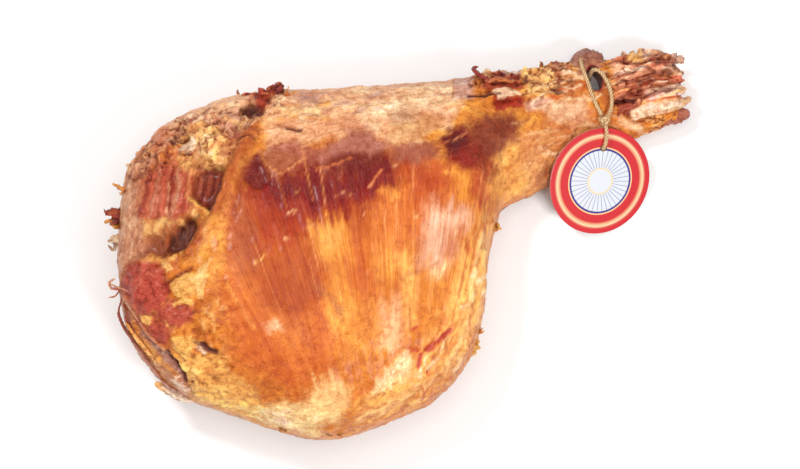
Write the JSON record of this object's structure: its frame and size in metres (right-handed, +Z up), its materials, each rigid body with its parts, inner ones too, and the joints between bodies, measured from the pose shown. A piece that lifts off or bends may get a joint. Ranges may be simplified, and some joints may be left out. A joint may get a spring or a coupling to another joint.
{
  "type": "cured ham on the bone",
  "caption": "Whole cured bone-in ham lying on its outer side, with a round tag tied through the hock with twine.",
  "frame": {"origin": "centre of the ham's footprint, on the surface it lies on", "axes": "+X along the leg towards the shank end, +Y across the leg towards its straight upper edge, +Z up out of the cut face"},
  "size_m": [0.525, 0.3692, 0.1503],
  "materials": {
    "cured_meat": "smoked meat and fat, amber and crimson, with an oily sheen",
    "jute_twine": "three-ply natural jute, hairy and dull",
    "printed_card": "glossy red printed card with thin gold rings"
  },
  "bodies": {
    "root": {"ham": "cured_meat", "tendon_loop": "jute_twine", "twine_knot": "jute_twine", "tag_loop": "jute_twine", "tag": "printed_card"}
  },
  "joints": []
}
